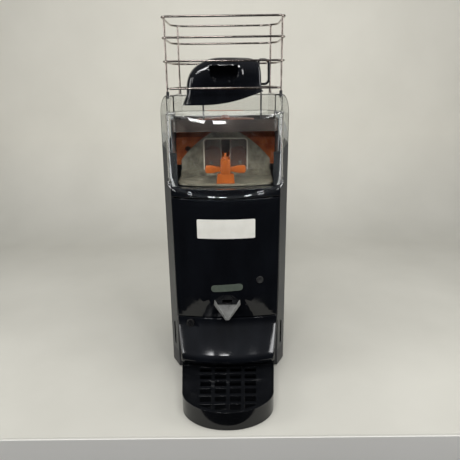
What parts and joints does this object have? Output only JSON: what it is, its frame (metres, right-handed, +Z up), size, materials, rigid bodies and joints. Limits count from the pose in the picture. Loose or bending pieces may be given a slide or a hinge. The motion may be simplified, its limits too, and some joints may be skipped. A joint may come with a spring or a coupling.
{
  "type": "automatic orange juicer",
  "caption": "Tall counter-top citrus juicer with a wire fruit basket, clear cover over the squeezing drums, hinged front door with a juice spout and a pull-out drip tray.",
  "frame": {"origin": "on the table, at the centre of the box that holds the whole machine", "axes": "+Z up, front towards -Y, +X to the right seen from the front"},
  "size_m": [0.33, 0.488, 0.95],
  "materials": {
    "black_gloss": "black gloss",
    "black_matt": "black matt",
    "silver_paint": "silver paint",
    "steel": "steel",
    "bright_wire": "bright wire",
    "orange": "orange",
    "clear": "clear",
    "smoke": "smoke",
    "white_plate": "white plate",
    "grey_green": "grey green",
    "motor_grey": "motor grey",
    "rubber": "rubber",
    "board": "board"
  },
  "bodies": {
    "root": {"arch_plate": "steel", "base_plinth": "black_matt", "bearings": "steel", "bin_shelf": "steel", "bulkhead": "steel", "button_bezel": "black_matt", "catch_tray": "steel", "clear_housing": "clear", "control_board": "board", "cover_pivots": "steel", "door_switch": "black_matt", "drive_belt": "rubber", "drive_motor": "motor_grey", "drum_hood": "orange", "feed_motor": "motor_grey", "feet": "rubber", "front_sill": "black_gloss", "hopper_pan": "smoke", "hopper_posts": "black_matt", "juice_collector": "orange", "juice_filter": "steel", "knife_blade": "steel", "knife_holder": "steel", "knob_block": "orange", "left_frame_plate": "steel", "left_side_panel": "silver_paint", "lower_panel": "black_gloss", "peel_bin": "black_matt", "peel_chutes": "steel", "power_inlet": "black_matt", "rear_panel": "silver_paint", "right_frame_plate": "steel", "right_side_panel": "silver_paint", "smoke_panels": "smoke", "window_rim": "steel"},
    "door": {"front_door": "black_gloss", "blank_plate": "white_plate", "oval_plate": "grey_green", "juice_spout": "steel", "juice_duct": "orange"},
    "lock": {"door_lock": "bright_wire"},
    "cover": {"clear_cover": "clear"},
    "fruit_basket": {"basket": "bright_wire"},
    "hood": {"loose_hood": "black_gloss"},
    "feeder": {"feed_disc": "orange"},
    "cup_left": {"cup_drum_left": "orange", "gear_shaft_cup_left": "steel"},
    "cup_right": {"cup_drum_right": "orange", "gear_shaft_cup_right": "steel"},
    "ball_left": {"ball_drum_left": "orange", "gear_shaft_ball_left": "steel"},
    "ball_right": {"ball_drum_right": "orange", "gear_shaft_ball_right": "steel", "driven_pulley": "steel"},
    "motor_shaft": {"motor_pulley": "steel"},
    "knob": {"wing_knob": "orange"},
    "button": {"power_button": "black_gloss"},
    "tray": {"drip_tray": "black_gloss"},
    "grille": {"tray_grille": "black_matt"}
  },
  "joints": [
    {"name": "door_hinge", "type": "hinge", "parent": "root", "child": "door", "pos_m": [-0.135, 0.008, 0.355], "axis": [0, 0, -1], "range_deg": [0, 100]},
    {"name": "lock_turn", "type": "hinge", "parent": "door", "child": "lock", "pos_m": [0.088, 0, 0.295], "axis": [0, 1, 0], "range_deg": [0, 90]},
    {"name": "cover_hinge", "type": "hinge", "parent": "root", "child": "cover", "pos_m": [0, 0.012, 0.727], "axis": [-1, 0, 0], "range_deg": [0, 80]},
    {"name": "basket_lift", "type": "slide", "parent": "root", "child": "fruit_basket", "axis": [0, 0, 1], "range_m": [0, 0.2]},
    {"name": "hood_lift", "type": "slide", "parent": "root", "child": "hood", "axis": [0, 0, 1], "range_m": [0, 0.22]},
    {"name": "feed_spin", "type": "hinge", "parent": "root", "child": "feeder", "pos_m": [0, 0.126, 0.7], "axis": [0, 0, 1], "continuous": true},
    {"name": "cup_left_spin", "type": "hinge", "parent": "root", "child": "cup_left", "pos_m": [-0.04, 0.174, 0.584], "axis": [0, 1, 0], "continuous": true},
    {"name": "cup_right_spin", "type": "hinge", "parent": "root", "child": "cup_right", "pos_m": [0.04, 0.174, 0.584], "axis": [0, 1, 0], "continuous": true},
    {"name": "ball_left_spin", "type": "hinge", "parent": "root", "child": "ball_left", "pos_m": [-0.0685, 0.174, 0.50925], "axis": [0, 1, 0], "continuous": true},
    {"name": "ball_right_spin", "type": "hinge", "parent": "root", "child": "ball_right", "pos_m": [0.0685, 0.174, 0.50925], "axis": [0, 1, 0], "continuous": true},
    {"name": "motor_spin", "type": "hinge", "parent": "root", "child": "motor_shaft", "pos_m": [0.0685, 0.23, 0.12], "axis": [0, 1, 0], "continuous": true},
    {"name": "knob_turn", "type": "hinge", "parent": "root", "child": "knob", "pos_m": [0, 0.036, 0.58], "axis": [0, 0, 1], "range_deg": [0, 90]},
    {"name": "button_press", "type": "slide", "parent": "root", "child": "button", "axis": [0, 1, 0], "range_m": [0, 0.003]},
    {"name": "tray_pull", "type": "slide", "parent": "root", "child": "tray", "axis": [0, -1, 0], "range_m": [0, 0.16]},
    {"name": "grille_lift", "type": "slide", "parent": "tray", "child": "grille", "axis": [0, 0, 1], "range_m": [0, 0.014]}
  ],
  "couplings": [
    {"joint": "cup_right_spin", "follows": "cup_left_spin", "ratio": -1},
    {"joint": "ball_left_spin", "follows": "cup_left_spin", "ratio": -1},
    {"joint": "ball_right_spin", "follows": "cup_left_spin", "ratio": 1},
    {"joint": "motor_spin", "follows": "cup_left_spin", "ratio": 1.5}
  ]
}
